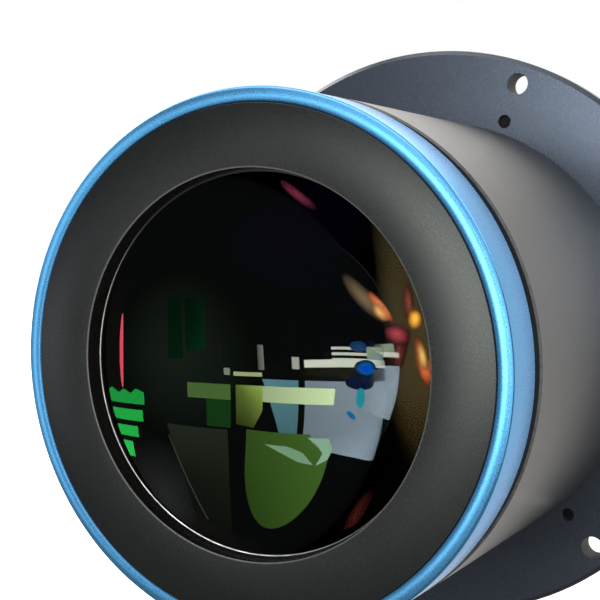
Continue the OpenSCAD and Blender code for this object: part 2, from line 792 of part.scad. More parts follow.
// Outline of a blade lying open: a curved strip with round ends
module blade_outline() {
    difference() {
        intersection() {
            circle(r = blade_out_r, $fn = fine_fn);
            polygon([
                [0, 0], [2 * blade_r, 0], [2 * blade_r, 2 * blade_r],
                [2 * blade_r * cos(blade_span), 2 * blade_r * sin(blade_span)]
            ]);
        }
        circle(r = blade_in_r, $fn = fine_fn);
    }
    for (turn = [0, blade_span])
        rotate(turn) translate([blade_r, 0]) circle(d = blade_w, $fn = fine_fn);
}

// One sloping blade with its pivot pin towards the plate and its drive pin towards the disc
module iris_blade(index)
    color(steel_finish) placed() rotate([0, 0, index * 360 / blade_count]) {
        translate([0, 0, blade_z]) rotate([blade_slope, 0, 0])
            linear_extrude(blade_t) blade_outline();
        translate([blade_r, 0, 0]) rod(blade_pin_r, blade_z - blade_pin_len, blade_z + blade_t / 2);
        rotate([0, 0, blade_span]) translate([blade_r, 0, 0])
            rod(blade_pin_r, blade_z + blade_lift + blade_t / 2, iris_disc_z + blade_pin_len);
    }

// Where a blade's drive pin lies in the disc's own frame when the blade has swung by some share
function pin_spot(share) =
    let (
        swing = blade_swing * share,
        dx = blade_r * (cos(blade_span) - 1),
        dy = blade_r * sin(blade_span),
        x = blade_r + dx * cos(swing) - dy * sin(swing),
        y = dx * sin(swing) + dy * cos(swing),
        back = -iris_turn * share
    )
    [x * cos(back) - y * sin(back), x * sin(back) + y * cos(back)];

// Outline of the slanting slot that swings one blade
module blade_slot() {
    half = blade_pin_r + pin_gap;
    spots = [for (i = [0 : slot_steps]) pin_spot(i / slot_steps)];
    // Unit normal of the path at a step
    function normal(i) =
        let (
            a = spots[max(i - 1, 0)], b = spots[min(i + 1, slot_steps)],
            along = (b - a) / norm(b - a)
        )
        [-along[1], along[0]];
    polygon(concat(
        [for (i = [0 : slot_steps]) spots[i] + half * normal(i)],
        [for (i = [slot_steps : -1 : 0]) spots[i] - half * normal(i)]
    ));
    for (i = [0, slot_steps]) translate(spots[i]) circle(r = half, $fn = small_fn);
}

module iris_disc()
    color(black_finish) placed()
        difference() {
            ring(iris_bore_r, iris_r, iris_disc_z, iris_disc_z + iris_disc_t);
            translate([0, 0, iris_disc_z - over])
                linear_extrude(iris_disc_t + 2 * over)
                    for (i = [0 : blade_count - 1]) rotate(i * 360 / blade_count) blade_slot();
            radial_rod(iris_pin_clock, iris_pin_z, drive_pin_r + fit_gap / 2, drive_pin_in, iris_r + over);
        }

module iris_drive_pin()
    color(steel_finish) placed()
        radial_rod(
            iris_pin_clock, iris_pin_z, drive_pin_r, drive_pin_in, iris_ring_r - drive_pin_short
        );

module iris_ring()
    color(black_finish) placed()
        difference() {
            ring(ring_bore_r, iris_ring_r, iris_z, iris_ring_end, ring_bevel);
            flutes(iris_ring_r, iris_z + grip_margin, iris_ring_end - grip_margin);
            radial_rod(
                iris_pin_clock, iris_pin_z, drive_pin_r + fit_gap / 2, tube_r - over, iris_ring_r + over
            );
            radial_rod(iris_lock_clock, iris_lock_z, lock_r + run_gap, tube_r - over, iris_ring_r + over);
        }

module iris_lock_screw() lock_screw(iris_lock_clock, iris_lock_z, iris_ring_r);

module field_lens()
    color(glass_tint) placed() plano_convex(field_r, field_z, field_t, field_rc);

module field_keeper()
    color(black_finish) placed()
        ring(field_r - field_keeper_w, field_r, field_keeper_z, field_keeper_z + field_keeper_len);

// Turning camera mount with its screw thread, drawn as a plain cylinder at the thread's full diameter
module camera_mount()
    color(black_finish) placed()
        difference() {
            turned([
                [mount_bore_r, mount_z], [mount_r - mount_bevel, mount_z],
                [mount_r, mount_z + mount_bevel], [mount_r, mount_body_end],
                [mount_face_r, mount_rim_z], [mount_face_r, mount_face_z],
                [thread_r, mount_face_z], [thread_r, mount_end - thread_bevel],
                [thread_r - thread_bevel, mount_end], [thread_bore_r, mount_end],
                [thread_bore_r, tube_end + end_gap], [mount_bore_r, tube_end + end_gap]
            ]);
            for (i = [0 : set_screw_count - 1])
                radial_rod(
                    i * 360 / set_screw_count, mount_screw_z, mount_screw_d / 2 + fit_gap,
                    mount_seat_r - over, mount_r + over
                );
        }

module mount_set_screws()
    color(steel_finish) placed()
        for (i = [0 : set_screw_count - 1])
            set_screw(
                i * 360 / set_screw_count, mount_screw_z, mount_screw_d,
                mount_groove_r + run_gap, mount_r - fit_gap
            );

face_plate();
trim_ring();
front_retainer();
front_lens();
front_spacer();
meniscus_lens();
rear_spacer();
crown_lens();
flint_lens();
main_barrel();
light_baffle();
mounting_flange();
rear_cone();
cone_screws();
rear_tube();
neck_set_screws();
focus_ring();
focus_cell();
focus_pin();
relay_front_lens();
relay_spacer();
relay_rear_lens();
relay_keeper();
focus_lock_screw();
iris_keeper();
iris_plate();
iris_blade(0);  // iris_blade_1
iris_blade(1);  // iris_blade_2
iris_blade(2);  // iris_blade_3
iris_blade(3);  // iris_blade_4
iris_blade(4);  // iris_blade_5
iris_blade(5);  // iris_blade_6
iris_disc();
iris_drive_pin();
iris_ring();
iris_lock_screw();
field_lens();
field_keeper();
camera_mount();
mount_set_screws();
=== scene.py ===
# Looks of the panoramic inspection lens: finer turned pieces at the front, glass with thin coatings,
# anodised metal, and the lights and glowing shapes round it. Lengths are in metres. The places and sizes of
# lights and cards are in degrees as seen from the lens.
import json
import math

import bmesh
import bpy
from mathutils import Matrix, Vector

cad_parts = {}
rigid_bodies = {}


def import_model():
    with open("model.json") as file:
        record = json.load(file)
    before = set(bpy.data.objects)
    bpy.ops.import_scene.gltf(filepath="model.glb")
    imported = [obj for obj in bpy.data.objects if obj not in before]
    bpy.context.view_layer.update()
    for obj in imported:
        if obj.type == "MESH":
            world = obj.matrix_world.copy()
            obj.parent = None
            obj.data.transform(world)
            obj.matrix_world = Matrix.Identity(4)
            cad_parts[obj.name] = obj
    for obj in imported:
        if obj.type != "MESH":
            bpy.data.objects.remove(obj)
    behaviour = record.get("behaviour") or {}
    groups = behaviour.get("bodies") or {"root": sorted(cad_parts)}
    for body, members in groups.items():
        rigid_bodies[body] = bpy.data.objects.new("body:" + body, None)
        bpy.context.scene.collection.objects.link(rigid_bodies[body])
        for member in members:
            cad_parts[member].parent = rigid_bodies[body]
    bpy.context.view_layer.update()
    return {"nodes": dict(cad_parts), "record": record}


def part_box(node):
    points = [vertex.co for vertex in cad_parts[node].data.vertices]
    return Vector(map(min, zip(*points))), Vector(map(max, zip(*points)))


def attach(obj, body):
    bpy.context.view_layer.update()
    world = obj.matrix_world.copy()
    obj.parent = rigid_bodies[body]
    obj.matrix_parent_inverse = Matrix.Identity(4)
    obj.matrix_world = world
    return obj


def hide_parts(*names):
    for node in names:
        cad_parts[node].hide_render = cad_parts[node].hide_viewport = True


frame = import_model()

MM = 0.001

# Places read from the frame
FACE_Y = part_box("face_plate")[0].y
FLOOR_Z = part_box("mounting_flange")[0].z
FLANGE_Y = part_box("mounting_flange")[0].y
FLANGE_BACK_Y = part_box("mounting_flange")[1].y
FLANGE_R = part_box("mounting_flange")[1].x
BARREL_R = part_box("main_barrel")[1].x
TRIM_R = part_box("trim_ring")[1].x
LENS_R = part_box("front_lens")[1].x

# Sizes that the frame doesn't give
FACE_BORE_R = 34.4 * MM
FACE_PLATE_R = 45.55 * MM
FACE_T = 3.2 * MM
TRIM_LEN = 11.1 * MM
TRIM_INNER_R = 45.6 * MM
TRIM_NECK_R = 44.05 * MM
TRIM_CROWN_RC = 5 * MM
GROOVE_W = 3.1 * MM
LIP_R = 33.85 * MM
LIP_T = 0.8 * MM
LENS_GAP = 0.05 * MM

# Radii of the fine edges
BORE_EDGE_R = 0.2 * MM
PLATE_EDGE_R = 0.12 * MM
TRIM_FRONT_EDGE_R = 0.6 * MM
TRIM_BACK_EDGE_R = 0.45 * MM
TRIM_NECK_EDGE_R = 0.1 * MM

# Widths of the fine bevels
TRIM_BEVEL = 0.2 * MM
LIP_CHAMFER = 0.14 * MM
LENS_CHAMFER = 0.15 * MM

# Front and back curve of each glass. A positive one bulges to the front, and None is flat
FRONT_CURVES = (145 * MM, -160 * MM)
MENISCUS_CURVES = (92 * MM, 220 * MM)
CROWN_CURVES = (70 * MM, -120 * MM)
FIELD_CURVES = (60 * MM, None)
RELAY_FRONT_CURVES = (40 * MM, -40 * MM)
RELAY_REAR_CURVES = (55 * MM, None)

# Index of refraction of every glass
GLASS_INDEX = 1.6

# Fineness of the turned meshes and of the round cards
SEGMENTS = 256
ARC_STEPS = 5
CROWN_STEPS = 12
QUARTER_STEPS = 10
OVAL_STEPS = 20
ARCH_STEPS = 16
SMOOTH_ANGLE = math.radians(35)

# A wall of a hole lies clear of the flange's rim and of the barrel by this margin, and faces along the axis
# by less than this share
HOLE_MARGIN = 0.8 * MM
HOLE_FACING_SHARE = 0.3

# Sizes of the surroundings
FLOOR_HALF = 6.0
BACKDROP_R = 9.0
LIGHT_DISTANCE = 1.6


# Turned meshes


def rounded(corners, radii):
    """A closed outline with each corner replaced by an arc of its radius. A radius of 0 keeps the corner."""
    points = []
    count = len(corners)
    for i, r in enumerate(radii):
        here = Vector(corners[i])
        if r == 0:
            points.append(tuple(here))
            continue
        before = (Vector(corners[i - 1]) - here).normalized()
        after = (Vector(corners[(i + 1) % count]) - here).normalized()
        half = before.angle(after) / 2
        reach = r / math.tan(half)
        middle = here + (before + after).normalized() * (r / math.sin(half))
        start = here + before * reach - middle
        end = here + after * reach - middle
        turn = start.angle_signed(end)
        for k in range(ARC_STEPS + 1):
            spun = Matrix.Rotation(-turn * k / ARC_STEPS, 2) @ start
            points.append(tuple(middle + spun))
    return points


def lathe(name, outline, closed=True, slot_of=None):
    """A mesh turned about the Y axis from (radius, y) points. slot_of gives the material number of the faces
    that the edge after point i makes."""
    rings = []
    vertices = []
    for radius, y in outline:
        if radius == 0:
            rings.append([len(vertices)])
            vertices.append((0, y, 0))
            continue
        rings.append(range(len(vertices), len(vertices) + SEGMENTS))
        for s in range(SEGMENTS):
            a = 2 * math.pi * s / SEGMENTS
            vertices.append((radius * math.sin(a), y, radius * math.cos(a)))
    faces, slots = [], []
    pairs = len(rings) if closed else len(rings) - 1
    for i in range(pairs):
        a, b = rings[i], rings[(i + 1) % len(rings)]
        for s in range(SEGMENTS):
            t = (s + 1) % SEGMENTS
            if len(a) == 1:
                faces.append((a[0], b[s], b[t]))
            elif len(b) == 1:
                faces.append((a[s], b[0], a[t]))
            else:
                faces.append((a[s], b[s], b[t], a[t]))
            slots.append(slot_of(i) if slot_of else 0)
    mesh = bpy.data.meshes.new(name)
    mesh.from_pydata(vertices, [], faces)
    mesh.polygons.foreach_set("material_index", slots)
    mesh.shade_smooth()
    mesh.set_sharp_from_angle(angle=SMOOTH_ANGLE)
    made = bpy.data.objects.new(name, mesh)
    bpy.context.scene.collection.objects.link(made)
    outward(made)
    return made


def outward(obj):
    """Turns a closed mesh's faces outwards."""
    work = bmesh.new()
    work.from_mesh(obj.data)
    bmesh.ops.recalc_face_normals(work, faces=work.faces)
    work.to_mesh(obj.data)
    work.free()


# Materials


def add(tree, kind, inputs=None, **settings):
    """A node with its settings and socket values. A value that is a socket is linked."""
    made = tree.nodes.new(kind)
    for key, value in settings.items():
        setattr(made, key, value)
    for key, value in (inputs or {}).items():
        if isinstance(value, bpy.types.NodeSocket):
            tree.links.new(value, made.inputs[key])
        else:
            made.inputs[key].default_value = value
    return made


def material(name):
    """A new material and its Principled shader."""
    made = bpy.data.materials.new(name)
    made.use_nodes = True
    return made, made.node_tree.nodes["Principled BSDF"]


def math_node(tree, operation, a, b=0.0):
    return add(tree, "ShaderNodeMath", {0: a, 1: b}, operation=operation).outputs[0]


def object_place(tree):
    return add(tree, "ShaderNodeTexCoord").outputs["Object"]


def turned_place(tree, place):
    """Distance from the axis, place along it, and both as a vector, for patterns that run round the axis."""
    split = add(tree, "ShaderNodeSeparateXYZ", {"Vector": place}).outputs
    squares = [math_node(tree, "MULTIPLY", split[i], split[i]) for i in ("X", "Z")]
    radius = math_node(tree, "SQRT", math_node(tree, "ADD", *squares))
    both = add(tree, "ShaderNodeCombineXYZ", {"X": radius, "Y": split["Y"]}).outputs[0]
    return radius, split["Y"], both


def noise(tree, vector, scale, detail=2.0, rough=0.5):
    made = add(
        tree, "ShaderNodeTexNoise", {"Vector": vector, "Scale": scale, "Detail": detail, "Roughness": rough}
    )
    return made.outputs["Fac"]


def ramp(tree, value, low, high, to_low=0.0, to_high=1.0):
    """Maps a value from one span to another, held at both ends."""
    return add(
        tree, "ShaderNodeMapRange",
        {"Value": value, "From Min": low, "From Max": high, "To Min": to_low, "To Max": to_high},
    ).outputs["Result"]


def mix_colour(tree, share, a, b):
    made = add(tree, "ShaderNodeMix", {0: share}, data_type="RGBA")
    for socket, value in ((6, a), (7, b)):
        if isinstance(value, bpy.types.NodeSocket):
            tree.links.new(value, made.inputs[socket])
        else:
            made.inputs[socket].default_value = (*value, 1)
    return made.outputs[2]


def near_edge(tree, radius, along, edges, width):
    """1 at the given circles of (radius, y) and 0 further than width from them."""
    shares = []
    for edge_r, edge_y in edges:
        dr = math_node(tree, "SUBTRACT", radius, edge_r)
        dy = math_node(tree, "SUBTRACT", along, edge_y)
        squares = [math_node(tree, "MULTIPLY", d, d) for d in (dr, dy)]
        gap = math_node(tree, "SQRT", math_node(tree, "ADD", *squares))
        shares.append(ramp(tree, gap, 0.0, width, 1.0, 0.0))
    total = shares[0]
    for other in shares[1:]:
        total = math_node(tree, "MAXIMUM", total, other)
    return total


def anodised(
    name, colour, roughness, lines, grain, metallic=0.0, level=0.5, tint=(1, 1, 1), anisotropic=0.0,
    blotch_share=0.12, edges=(), edge_wear_and_light_colour=None, edge_width=0.45 * MM, worn=True,
):
    """Anodised aluminium: a dyed skin with fine turning lines, a blasted grain, faint handling marks and
    edges of another colour, which are uneven where they are worn. On some pieces that edge colour is painted
    light: a painted highlight on some edges and painted shade on another."""
    made, shader = material(name)
    tree = made.node_tree
    place = object_place(tree)
    radius, along, both = turned_place(tree, place)
    patches = noise(tree, place, scale=55, detail=4.0, rough=0.6)
    fine = noise(tree, place, scale=2600)
    rings = noise(tree, both, scale=5200, detail=3.0, rough=0.7)
    darker = tuple(c * (1 - blotch_share) for c in colour)
    lighter = tuple(min(c * (1 + blotch_share), 1) for c in colour)
    skin = mix_colour(tree, ramp(tree, patches, 0.35, 0.65), darker, lighter)
    smoother = roughness * (1 - blotch_share / 2)
    rougher = roughness * (1 + blotch_share / 2)
    broad = ramp(tree, patches, 0.3, 0.7, smoother, rougher)
    rough = math_node(tree, "ADD", broad, ramp(tree, fine, 0.2, 0.8, -0.02, 0.02))
    # The edge band is colour painted at given edges: wear on the barrel, wear and a painted highlight on the
    # flange's rim, a painted highlight at the face plate's bore and painted shade at the blue ring's inner
    # edge.
    if edges:
        wear_and_light_band = near_edge(tree, radius, along, edges, edge_width)
        if worn:
            wear = ramp(tree, noise(tree, place, scale=900, detail=4.0, rough=0.7), 0.38, 0.62, 0.1, 0.8)
            wear_and_light_band = math_node(tree, "MULTIPLY", wear_and_light_band, wear)
        skin = mix_colour(tree, wear_and_light_band, skin, edge_wear_and_light_colour)
    height = math_node(
        tree, "ADD", math_node(tree, "MULTIPLY", rings, lines), math_node(tree, "MULTIPLY", fine, grain)
    )
    bump = add(tree, "ShaderNodeBump", {"Height": height, "Distance": 0.03 * MM, "Strength": 0.6})
    tree.links.new(skin, shader.inputs["Base Color"])
    tree.links.new(rough, shader.inputs["Roughness"])
    tree.links.new(bump.outputs["Normal"], shader.inputs["Normal"])
    if anisotropic:
        tangent = add(tree, "ShaderNodeTangent", direction_type="RADIAL", axis="Y")
        tree.links.new(tangent.outputs["Tangent"], shader.inputs["Tangent"])
    shader.inputs["Anisotropic"].default_value = anisotropic
    shader.inputs["Metallic"].default_value = metallic
    shader.inputs["Specular IOR Level"].default_value = level
    shader.inputs["Specular Tint"].default_value = (*tint, 1)
    return made


def steel(name, colour, roughness):
    """Steel with a fine grain and a little tarnish."""
    made, shader = material(name)
    tree = made.node_tree
    place = object_place(tree)
    tarnish = noise(tree, place, scale=420, detail=4.0, rough=0.6)
    dark = tuple(c * 0.6 for c in colour)
    skin = mix_colour(tree, ramp(tree, tarnish, 0.35, 0.7), colour, dark)
    rough = ramp(tree, tarnish, 0.3, 0.7, roughness * 0.85, roughness * 1.2)
    grain = noise(tree, place, scale=9000)
    bump = add(tree, "ShaderNodeBump", {"Height": grain, "Distance": 0.01 * MM, "Strength": 0.5})
    tree.links.new(skin, shader.inputs["Base Color"])
    tree.links.new(rough, shader.inputs["Roughness"])
    tree.links.new(bump.outputs["Normal"], shader.inputs["Normal"])
    shader.inputs["Metallic"].default_value = 1.0
    return made


def coated(name, body, film, film_index=1.38):
    """A polished glass surface with a thin coating, whose thickness in nanometres sets the colour that it
    mirrors."""
    made, shader = material(name)
    tree = made.node_tree
    thin, thick = film * 0.97, film * 1.03
    uneven = ramp(tree, noise(tree, object_place(tree), scale=30), 0.3, 0.7, thin, thick)
    tree.links.new(uneven, shader.inputs["Thin Film Thickness"])
    shader.inputs["Roughness"].default_value = 0.0
    shader.inputs["Base Color"].default_value = (*body, 1)
    shader.inputs["Transmission Weight"].default_value = 1.0
    shader.inputs["IOR"].default_value = GLASS_INDEX
    shader.inputs["Thin Film IOR"].default_value = film_index
    return made


def edge_black():
    """Matt black paint on the ground edge of a lens."""
    made, shader = material("glass_edge_black")
    tree = made.node_tree
    grain = noise(tree, object_place(tree), scale=1800, detail=3.0)
    skin = mix_colour(tree, grain, (0.006, 0.006, 0.007), (0.016, 0.016, 0.017))
    bump = add(tree, "ShaderNodeBump", {"Height": grain, "Distance": 0.05 * MM, "Strength": 0.4})
    tree.links.new(skin, shader.inputs["Base Color"])
    tree.links.new(bump.outputs["Normal"], shader.inputs["Normal"])
    shader.inputs["Roughness"].default_value = 0.75
    shader.inputs["Specular IOR Level"].default_value = 0.2
    return made


# The pale grey band at the front edge of the bore is a painted highlight of that edge.
FRONT_BLACK = anodised(
    "front_black", (0.008, 0.0083, 0.0088), 0.28, lines=0.03, grain=0.03, level=0.55, blotch_share=0.06,
    edges=[(FACE_BORE_R, FACE_Y)], edge_wear_and_light_colour=(0.12, 0.12, 0.115), edge_width=0.32 * MM, worn=False,
)
# The dark navy band along the ring's inner edge is painted shade.
BLUE = anodised(
    "blue_anodised", (0.09, 0.30, 0.54), 0.28, lines=0.0, grain=0.0, metallic=0.85, tint=(0.75, 0.82, 1.0),
    anisotropic=0.2, blotch_share=0.04, edges=[(TRIM_INNER_R, FACE_Y)], edge_wear_and_light_colour=(0.004, 0.02, 0.05),
    edge_width=1.1 * MM, worn=False,
)
EDGE_BLACK = anodised("edge_black", (0.004, 0.004, 0.004), 0.28, lines=0.3, grain=0.05, level=0.4)
BARREL_GREY = anodised(
    "barrel_grey", (0.022, 0.023, 0.025), 0.35, lines=0.12, grain=0.15, level=0.6,
    edges=[(BARREL_R, FACE_Y + TRIM_LEN + GROOVE_W)], edge_wear_and_light_colour=(0.20, 0.21, 0.22),
)
# The pale, uneven band round the flange's rim is wear and also a painted highlight of the rim's chamfer.
FLANGE_GREY = anodised(
    "flange_grey", (0.014, 0.016, 0.020), 0.28, lines=0.04, grain=0.02, level=1.0, tint=(0.72, 0.86, 1.0),
    blotch_share=0.04, edges=[(FLANGE_R, FLANGE_Y), (FLANGE_R, FLANGE_BACK_Y)],
    edge_wear_and_light_colour=(0.20, 0.22, 0.23), edge_width=0.6 * MM,
)
# A dull, barely glossy finish for the walls of the flange's holes, as painted shade inside the holes.
HOLE_PAINTED_SHADE = anodised("hole_black", (0.045, 0.045, 0.048), 0.6, lines=0.3, grain=0.1, level=0.2)
REAR_BLACK = anodised("rear_black", (0.016, 0.016, 0.017), 0.36, lines=0.25, grain=0.1)
STEEL = steel("steel", (0.42, 0.42, 0.43), 0.30)
# Bright steel for the chamfer of the black retainer's lip, a painted highlight of that edge.
LIP_PAINTED_HIGHLIGHT = steel("bright_edge", (0.66, 0.67, 0.66), 0.45)
BLACK_STEEL = steel("black_steel", (0.03, 0.03, 0.032), 0.42)
BLADE = steel("blade_steel", (0.07, 0.07, 0.075), 0.35)
GLASS_EDGE = edge_black()
FRONT_COAT = coated("glass_front_coat", (0.92, 0.96, 0.94), 100)
INNER_COAT = coated("glass_inner_coat", (0.60, 0.62, 0.62), 88, film_index=2.5)
AMBER_COAT = coated("glass_amber_coat", (0.35, 0.32, 0.30), 165, film_index=1.265)
ROSE_COAT = coated("glass_rose_coat", (0.30, 0.30, 0.30), 120, film_index=1.265)
REAR_COAT = coated("glass_rear_coat", (0.75, 0.82, 0.80), 120)

FINISHES = {
    "front_black": FRONT_BLACK, "blue_anodised": BLUE, "edge_black": EDGE_BLACK, "barrel_grey": BARREL_GREY,
    "flange_grey": FLANGE_GREY, "rear_black": REAR_BLACK, "steel": STEEL, "blade_steel": BLADE,
    "coated_glass": REAR_COAT,
}


def finish_nodes():
    """Gives every CAD node the finish of its slot, and the walls of the flange's holes a duller one, which
    is painted shade inside the holes.
    """
    for part in frame["record"]["subparts"]:
        mesh = frame["nodes"][part["node"]].data
        mesh.materials.clear()
        mesh.materials.append(FINISHES[part["material_slot"]])
    screws = frame["nodes"]["cone_screws"].data
    screws.materials[0] = BLACK_STEEL
    flange = frame["nodes"]["mounting_flange"].data
    flange.materials.append(HOLE_PAINTED_SHADE)
    for face in flange.polygons:
        radius = math.hypot(face.center.x, face.center.z)
        clear = BARREL_R + HOLE_MARGIN < radius < FLANGE_R - HOLE_MARGIN
        if clear and abs(face.normal.y) < HOLE_FACING_SHARE:
            face.material_index = 1


# Glass


def sag(rc, r):
    """Depth of a spherical surface at distance r from the axis."""
    return rc - math.sqrt(rc * rc - r * r)


def cap(vertex_y, curve, edge_r, steps):
    """Points from the axis to the edge of a spherical surface, or of a flat one where the curve is None."""
    if curve is None:
        return [(0, vertex_y), (edge_r, vertex_y)]
    bulge = math.copysign(1, curve)
    rc = abs(curve)
    reach = math.asin(edge_r / rc)
    return [
        (rc * math.sin(reach * k / steps), vertex_y + bulge * rc * (1 - math.cos(reach * k / steps)))
        for k in range(steps + 1)
    ]


def glass_piece(node, curves, coats, body, steps=28):
    """A lens element whose polished sides carry a coating each and whose ground edge is black. Its size and
    place come from the node that it stands for."""
    low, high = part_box(node)
    edge_r = high.x
    front_curve, back_curve = curves
    back_y = high.y
    if back_curve is not None and back_curve > 0:
        back_y -= sag(back_curve, edge_r)
    front = cap(low.y, front_curve, edge_r, steps)
    back = cap(back_y, back_curve, edge_r, steps)
    front[-1:] = [(edge_r - LENS_CHAMFER, front[-1][1]), (edge_r, front[-1][1] + LENS_CHAMFER)]
    back[-1:] = [(edge_r - LENS_CHAMFER, back[-1][1]), (edge_r, back[-1][1] - LENS_CHAMFER)]
    front_count = len(front)

    def slot_of(i):
        if i < front_count - 2:
            return 0
        return 2 if i <= front_count else 1

    made = lathe(node + "_glass", front + back[::-1], closed=False, slot_of=slot_of)
    for coat in (*coats, GLASS_EDGE):
        made.data.materials.append(coat)
    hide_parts(node)
    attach(made, body)


def make_glass():
    glass_piece("front_lens", FRONT_CURVES, (FRONT_COAT, INNER_COAT), "lens_body", 48)
    glass_piece("meniscus_lens", MENISCUS_CURVES, (ROSE_COAT, AMBER_COAT), "lens_body", 40)
    glass_piece("crown_lens", CROWN_CURVES, (ROSE_COAT, ROSE_COAT), "lens_body", 40)
    glass_piece("field_lens", FIELD_CURVES, (REAR_COAT, REAR_COAT), "lens_body")
    glass_piece("relay_front_lens", RELAY_FRONT_CURVES, (REAR_COAT, REAR_COAT), "focus_slider")
    glass_piece("relay_rear_lens", RELAY_REAR_CURVES, (REAR_COAT, REAR_COAT), "focus_slider")


# Front pieces


def make_face_plate():
    """The black annulus, with fine rounded edges."""
    back_y = FACE_Y + FACE_T
    outline = rounded(
        [(FACE_BORE_R, FACE_Y), (FACE_PLATE_R, FACE_Y), (FACE_PLATE_R, back_y), (FACE_BORE_R, back_y)],
        [BORE_EDGE_R, PLATE_EDGE_R, PLATE_EDGE_R, PLATE_EDGE_R],
    )
    # The back, its arc at the bore and the bore itself come last
    back_from = len(outline) - (ARC_STEPS + 2)
    made = lathe("face_plate_turned", outline, slot_of=lambda i: int(i >= back_from))
    made.data.materials.append(FRONT_BLACK)
    made.data.materials.append(EDGE_BLACK)
    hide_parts("face_plate")
    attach(made, "lens_body")


def make_retainer():
    """The ring that holds the front glass, with a fine chamfer at the front of its lip that is coloured
    bright steel as a painted highlight.
    """
    low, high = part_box("front_retainer")
    bore_r = LENS_R + LENS_GAP
    lip_end = low.y + LIP_T
    outline = [
        (LIP_R + LIP_CHAMFER, low.y), (high.x, low.y), (high.x, high.y), (bore_r, high.y),
        (bore_r, lip_end), (LIP_R, lip_end), (LIP_R, low.y + LIP_CHAMFER),
    ]
    made = lathe("front_retainer_turned", outline, slot_of=lambda i: int(i == len(outline) - 1))
    made.data.materials.append(EDGE_BLACK)
    made.data.materials.append(LIP_PAINTED_HIGHLIGHT)
    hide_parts("front_retainer")
    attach(made, "lens_body")


def make_trim_ring():
    """The blue ring: a slightly crowned front with a fine inner bevel, and soft outer edges."""
    start, end = TRIM_INNER_R + TRIM_BEVEL, TRIM_R - TRIM_FRONT_EDGE_R
    middle = (start + end) / 2
    crown = [
        (r, FACE_Y + (r - middle) ** 2 / (2 * TRIM_CROWN_RC))
        for r in (start + (end - start) * k / CROWN_STEPS for k in range(CROWN_STEPS + 1))
    ]
    inner = [(TRIM_INNER_R, crown[0][1] + TRIM_BEVEL / 2)]
    outer = []
    for k in range(1, QUARTER_STEPS + 1):
        a = math.pi * k / (2 * QUARTER_STEPS)
        depth = TRIM_FRONT_EDGE_R * (1 - math.cos(a))
        outer.append((end + TRIM_FRONT_EDGE_R * math.sin(a), crown[-1][1] + depth))
    back = rounded(
        [
            outer[-1], (TRIM_R, FACE_Y + TRIM_LEN), (TRIM_NECK_R, FACE_Y + TRIM_LEN),
            (TRIM_NECK_R, FACE_Y + FACE_T), (TRIM_INNER_R, FACE_Y + FACE_T), inner[0],
        ],
        [0, TRIM_BACK_EDGE_R, TRIM_NECK_EDGE_R, TRIM_NECK_EDGE_R, TRIM_NECK_EDGE_R, 0],
    )
    made = lathe("trim_ring_turned", inner + crown + outer + back[1:-1])
    made.data.materials.append(BLUE)
    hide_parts("trim_ring")
    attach(made, "lens_body")


# Surroundings


def make_floor():
    """A plain pale floor, and a plain white backdrop that only the camera sees."""
    mesh = bpy.data.meshes.new("floor")
    corners = ((-1, -1), (1, -1), (1, 1), (-1, 1))
    mesh.from_pydata([(x * FLOOR_HALF, y * FLOOR_HALF, FLOOR_Z) for x, y in corners], [], [(0, 1, 2, 3)])
    floor = bpy.data.objects.new("floor", mesh)
    bpy.context.scene.collection.objects.link(floor)
    made, shader = material("floor_white")
    shader.inputs["Base Color"].default_value = (0.55, 0.55, 0.55, 1)
    shader.inputs["Roughness"].default_value = 0.8
    shader.inputs["Specular IOR Level"].default_value = 0.1
    shader.inputs["Emission Color"].default_value = (1, 1, 1, 1)
    shader.inputs["Emission Strength"].default_value = 0.9
    mesh.materials.append(made)
    floor.visible_glossy = False
    floor.visible_transmission = False
    floor.visible_shadow = False

    bpy.ops.mesh.primitive_uv_sphere_add(radius=BACKDROP_R, segments=48, ring_count=24)
    backdrop = bpy.context.object
    backdrop.name = "backdrop"
    glow, shader = material("backdrop_white")
    shader.inputs["Base Color"].default_value = (0, 0, 0, 1)
    shader.inputs["Emission Color"].default_value = (1, 1, 1, 1)
    shader.inputs["Emission Strength"].default_value = 1.0
    backdrop.data.materials.append(glow)
    for kind in ("visible_diffuse", "visible_glossy", "visible_transmission", "visible_shadow"):
        setattr(backdrop, kind, False)


def make_world():
    """Bright behind the lens, less so low down, and dark in front of it, as the mirrored room is."""
    world = bpy.data.worlds.new("studio")
    bpy.context.scene.world = world
    world.use_nodes = True
    tree = world.node_tree
    background = tree.nodes["Background"]
    way = add(tree, "ShaderNodeTexCoord").outputs["Generated"]
    split = add(tree, "ShaderNodeSeparateXYZ", {"Vector": way}).outputs
    behind = ramp(tree, split["Y"], 0.25, 0.8)
    above = ramp(tree, split["Z"], -0.65, -0.4, 0.2, 1.0)
    share = math_node(tree, "MULTIPLY", behind, above)
    tree.links.new(
        mix_colour(tree, share, (0.006, 0.0065, 0.007), (1.0, 0.965, 0.91)), background.inputs["Color"]
    )
    background.inputs["Strength"].default_value = 1.2


def direction(azimuth, elevation):
    """The way from the lens to a place in degrees. Azimuth 0 is straight in front, and 90 on the right."""
    a, e = math.radians(azimuth), math.radians(elevation)
    return Vector((math.sin(a) * math.cos(e), -math.cos(a) * math.cos(e), math.sin(e)))


def panel(name, azimuth, elevation, wide, high, strength, only, colour=(1, 1, 1)):
    """A soft rectangular light that only some pieces get."""
    way = direction(azimuth, elevation)
    data = bpy.data.lights.new(name, "AREA")
    data.shape = "RECTANGLE"
    data.size = 2 * LIGHT_DISTANCE * math.tan(math.radians(wide / 2))
    data.size_y = 2 * LIGHT_DISTANCE * math.tan(math.radians(high / 2))
    data.energy = strength * data.size * data.size_y * math.pi
    data.color = colour
    made = bpy.data.objects.new(name, data)
    made.location = Vector((0, FACE_Y, 0)) + way * LIGHT_DISTANCE
    made.rotation_mode = "QUATERNION"
    made.rotation_quaternion = (-way).to_track_quat("-Z", "Y")
    made.visible_camera = False
    bpy.context.scene.collection.objects.link(made)
    made.light_linking.receiver_collection = only


